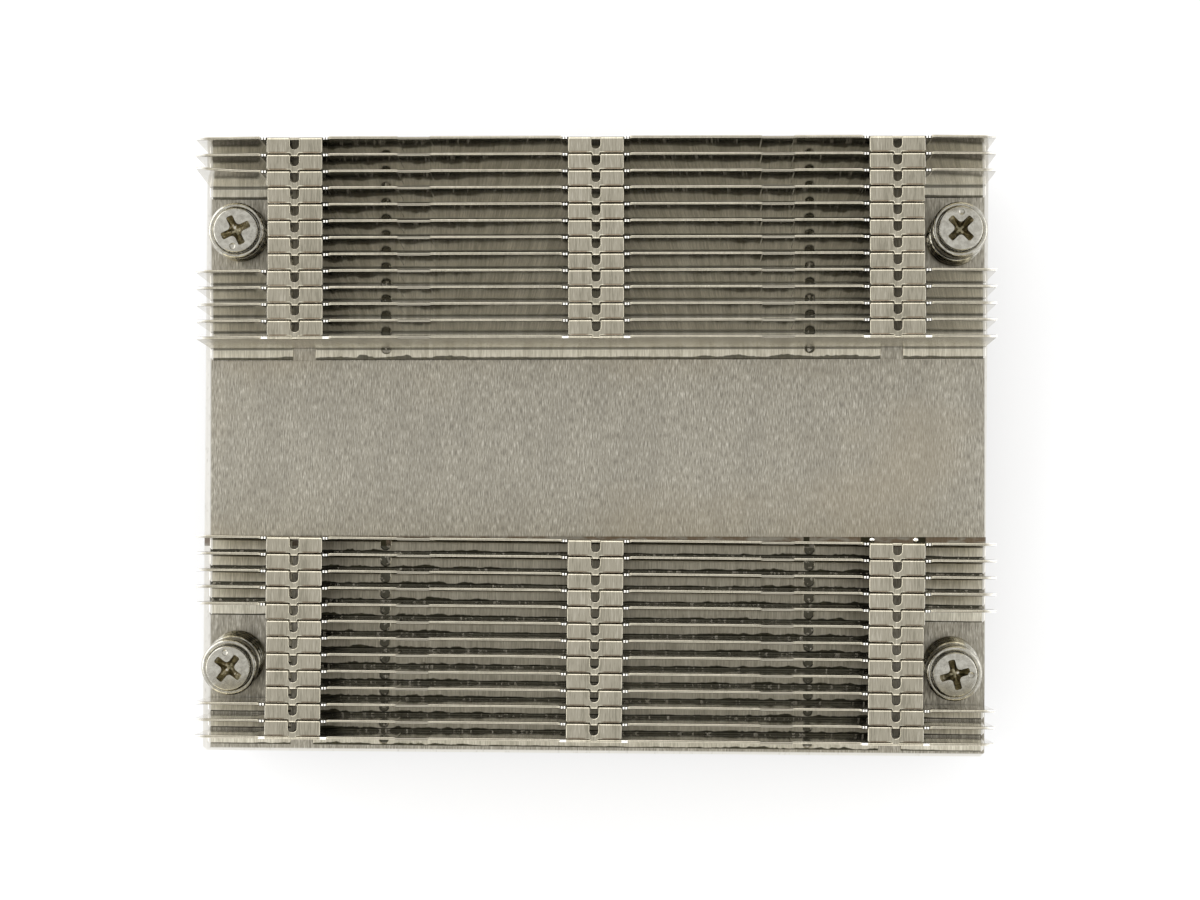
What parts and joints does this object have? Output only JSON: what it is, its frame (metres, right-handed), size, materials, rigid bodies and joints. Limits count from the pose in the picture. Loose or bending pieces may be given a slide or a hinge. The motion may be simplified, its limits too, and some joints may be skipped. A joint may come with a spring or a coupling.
{
  "type": "passive server processor heatsink",
  "caption": "Low passive server heatsink: flat metal base, two banks of interlocked folded fins with a bare plate between them, and a captive spring screw in each corner.",
  "frame": {"origin": "centre of the base plate's flat contact face, which sits on the processor", "axes": "+X along the fins, the way the air blows; +Y towards the rear bank, whose tabs all point the other way; +Z from the contact face to the fin tops"},
  "size_m": [0.1032, 0.0805, 0.032],
  "materials": {
    "plated_base": "satin nickel plate with a faint brushed grain",
    "plated_sheet": "bright nickel plate over rolled sheet, with brown solder flux along the folds",
    "plated_steel": "bright nickel plate",
    "spring_wire": "bright drawn wire"
  },
  "bodies": {
    "heatsink": {"base_plate": "plated_base", "centre_plate": "plated_sheet", "rear_fin_01": "plated_sheet", "rear_fin_02": "plated_sheet", "rear_fin_03": "plated_sheet", "rear_fin_04": "plated_sheet", "rear_fin_05": "plated_sheet", "rear_fin_06": "plated_sheet", "rear_fin_07": "plated_sheet", "rear_fin_08": "plated_sheet", "rear_fin_09": "plated_sheet", "rear_fin_10": "plated_sheet", "rear_fin_11": "plated_sheet", "rear_fin_12": "plated_sheet", "rear_fin_13": "plated_sheet", "front_fin_01": "plated_sheet", "front_fin_02": "plated_sheet", "front_fin_03": "plated_sheet", "front_fin_04": "plated_sheet", "front_fin_05": "plated_sheet", "front_fin_06": "plated_sheet", "front_fin_07": "plated_sheet", "front_fin_08": "plated_sheet", "front_fin_09": "plated_sheet", "front_fin_10": "plated_sheet", "front_fin_11": "plated_sheet", "front_fin_12": "plated_sheet", "front_fin_13": "plated_sheet"},
    "rear_left_spring": {"spring_rear_left": "spring_wire"},
    "rear_left_screw": {"screw_rear_left": "plated_steel", "retaining_ring_rear_left": "plated_steel"},
    "rear_right_spring": {"spring_rear_right": "spring_wire"},
    "rear_right_screw": {"screw_rear_right": "plated_steel", "retaining_ring_rear_right": "plated_steel"},
    "front_left_spring": {"spring_front_left": "spring_wire"},
    "front_left_screw": {"screw_front_left": "plated_steel", "retaining_ring_front_left": "plated_steel"},
    "front_right_spring": {"spring_front_right": "spring_wire"},
    "front_right_screw": {"screw_front_right": "plated_steel", "retaining_ring_front_right": "plated_steel"}
  },
  "joints": [
    {"name": "rear_left_travel", "type": "slide", "parent": "heatsink", "child": "rear_left_spring", "axis": [0, -0.005, -1], "range_m": [0, 0.0032], "stiffness_N_per_m": 2000, "springref_m": -0.003, "deforming": ["spring_rear_left"]},
    {"name": "rear_left_turn", "type": "hinge", "parent": "rear_left_spring", "child": "rear_left_screw", "pos_m": [-0.047, 0.028, 0.002], "axis": [0, -0.005, -1], "continuous": true},
    {"name": "rear_right_travel", "type": "slide", "parent": "heatsink", "child": "rear_right_spring", "axis": [-0.0349, -0.0846, -0.9958], "range_m": [0, 0.0032], "stiffness_N_per_m": 2000, "springref_m": -0.003, "deforming": ["spring_rear_right"]},
    {"name": "rear_right_turn", "type": "hinge", "parent": "rear_right_spring", "child": "rear_right_screw", "pos_m": [0.047, 0.028, 0.002], "axis": [-0.0349, -0.0846, -0.9958], "continuous": true},
    {"name": "front_left_travel", "type": "slide", "parent": "heatsink", "child": "front_left_spring", "axis": [0.0448, 0.0846, -0.9954], "range_m": [0, 0.0032], "stiffness_N_per_m": 2000, "springref_m": -0.003, "deforming": ["spring_front_left"]},
    {"name": "front_left_turn", "type": "hinge", "parent": "front_left_spring", "child": "front_left_screw", "pos_m": [-0.047, -0.028, 0.002], "axis": [0.0448, 0.0846, -0.9954], "continuous": true},
    {"name": "front_right_travel", "type": "slide", "parent": "heatsink", "child": "front_right_spring", "axis": [-0.006, 0.0896, -0.996], "range_m": [0, 0.0032], "stiffness_N_per_m": 2000, "springref_m": -0.003, "deforming": ["spring_front_right"]},
    {"name": "front_right_turn", "type": "hinge", "parent": "front_right_spring", "child": "front_right_screw", "pos_m": [0.047, -0.028, 0.002], "axis": [-0.006, 0.0896, -0.996], "continuous": true}
  ]
}
